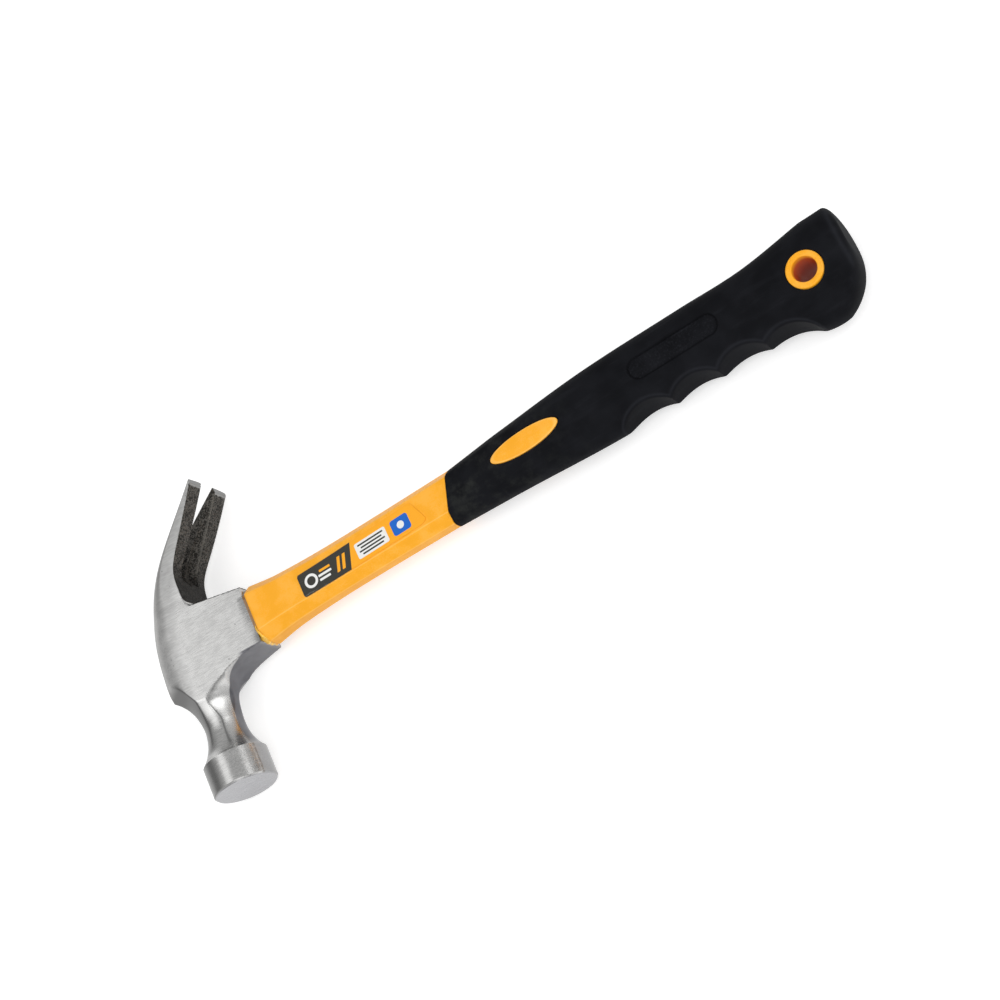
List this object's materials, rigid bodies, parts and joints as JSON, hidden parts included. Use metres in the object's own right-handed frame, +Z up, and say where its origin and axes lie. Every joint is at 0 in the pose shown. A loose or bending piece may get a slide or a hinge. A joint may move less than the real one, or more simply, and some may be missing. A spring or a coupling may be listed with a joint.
{
  "type": "claw hammer",
  "caption": "Claw hammer with a forged steel head, waisted faceted neck, curved claws with a nail slot, eight-sided handle and rubber grip with a hang hole.",
  "frame": {"origin": "under the middle of the hammer, on the surface that it lies on", "axes": "+X along the handle from the head to the butt, +Y to the claws, +Z up, square to the plane of the head and handle"},
  "size_m": [0.33, 0.1244, 0.0294],
  "materials": {
    "head_steel": "satin ground cheeks, rough dark inner face of the claws",
    "fibreglass": "cut end of a pultruded rod",
    "epoxy": "glossy cast resin",
    "jacket_plastic": "satin moulded plastic",
    "grip_rubber": "matte soft rubber",
    "inlay_plastic": "satin moulded plastic",
    "bush_plastic": "satin moulded plastic",
    "label_film": "printed film"
  },
  "bodies": {
    "root": {"hammer_head": "head_steel", "fibreglass_core": "fibreglass", "eye_epoxy": "epoxy", "handle_jacket": "jacket_plastic", "rubber_grip": "grip_rubber", "grip_inlay_left": "inlay_plastic", "grip_inlay_right": "inlay_plastic", "hang_hole_bush": "bush_plastic", "handle_label": "label_film"}
  },
  "joints": []
}
